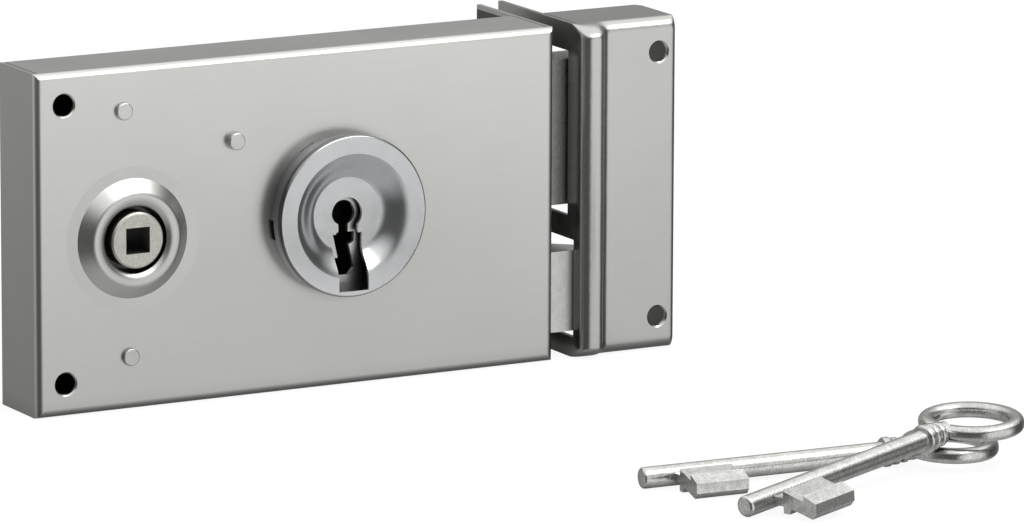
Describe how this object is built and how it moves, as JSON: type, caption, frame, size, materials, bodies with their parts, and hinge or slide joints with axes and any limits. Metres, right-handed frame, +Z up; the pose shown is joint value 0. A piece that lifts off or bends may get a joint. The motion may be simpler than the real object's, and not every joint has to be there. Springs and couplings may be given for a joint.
{
  "type": "rim box lock",
  "caption": "Surface-mounted box lock with a spring latch, a deadbolt thrown by a bit key, a matching box keep and loose keys.",
  "frame": {"origin": "the middle of the door face, which is the back of the case", "axes": "+X towards the forend and the keep, +Y into the door, +Z up"},
  "size_m": [0.1829, 0.2166, 0.083],
  "materials": {
    "satin_case": "satin nickel-plated sheet steel",
    "satin_keep": "satin nickel-plated sheet steel",
    "nickel_rosette": "fine satin nickel plate on drawn sheet",
    "cast_zinc": "grainy die-cast zinc",
    "bolt_zinc": "grey zinc-plated casting",
    "plain_steel": "zinc-plated flat steel",
    "rivet_steel": "plated steel pin",
    "spring_steel": "blued spring steel",
    "key_nickel": "mottled nickel plate on a casting"
  },
  "bodies": {
    "case": {"case_cover": "satin_case", "back_plate": "plain_steel", "back_plate_screws": "plain_steel", "corner_posts": "rivet_steel", "guide_pin": "rivet_steel", "tumbler_spacer": "plain_steel", "bolt_spacer": "plain_steel", "key_escutcheon": "nickel_rosette", "latch_stud": "plain_steel", "latch_spring": "spring_steel"},
    "follower_hub": {"follower": "cast_zinc"},
    "latch": {"latch_head": "bolt_zinc", "latch_tail": "plain_steel", "latch_rivets": "plain_steel"},
    "deadbolt": {"deadbolt_head": "bolt_zinc", "deadbolt_tail": "plain_steel", "deadbolt_rivets": "plain_steel"},
    "tumbler_lever": {"tumbler": "plain_steel", "tumbler_spring": "spring_steel"},
    "keep": {"keep_box": "satin_keep"},
    "first_key": {"key_lower": "key_nickel"},
    "second_key": {"key_upper": "key_nickel"}
  },
  "joints": [
    {"name": "follower_turn", "type": "hinge", "parent": "case", "child": "follower_hub", "pos_m": [-0.0446, 0, 0], "axis": [0, 1, 0], "range_deg": [0, 35]},
    {"name": "latch_slide", "type": "slide", "parent": "case", "child": "latch", "axis": [-1, 0, 0], "range_m": [0, 0.012], "stiffness_N_per_m": 300, "springref_m": -0.01, "deforming": ["latch_spring"]},
    {"name": "deadbolt_slide", "type": "slide", "parent": "case", "child": "deadbolt", "axis": [-1, 0, 0], "range_m": [0, 0.014]},
    {"name": "tumbler_drop", "type": "hinge", "parent": "case", "child": "tumbler_lever", "pos_m": [-0.01755, 0, 0.0213], "axis": [0, 1, 0], "range_deg": [0, 2.9], "stiffness_Nm_per_rad": 0.5, "deforming": ["tumbler_spring"]},
    {"name": "keep_set_off", "type": "slide", "parent": "case", "child": "keep", "axis": [1, 0, 0], "range_m": [0, 0.03]},
    {"name": "first_key_lift", "type": "slide", "parent": "case", "child": "first_key", "axis": [0, 0, 1], "range_m": [0, 0.06]},
    {"name": "second_key_lift", "type": "slide", "parent": "first_key", "child": "second_key", "axis": [0, 0, 1], "range_m": [0, 0.04]}
  ],
  "couplings": [
    {"joint": "follower_turn", "follows": "latch_slide", "rad_per_m": 50.905}
  ]
}
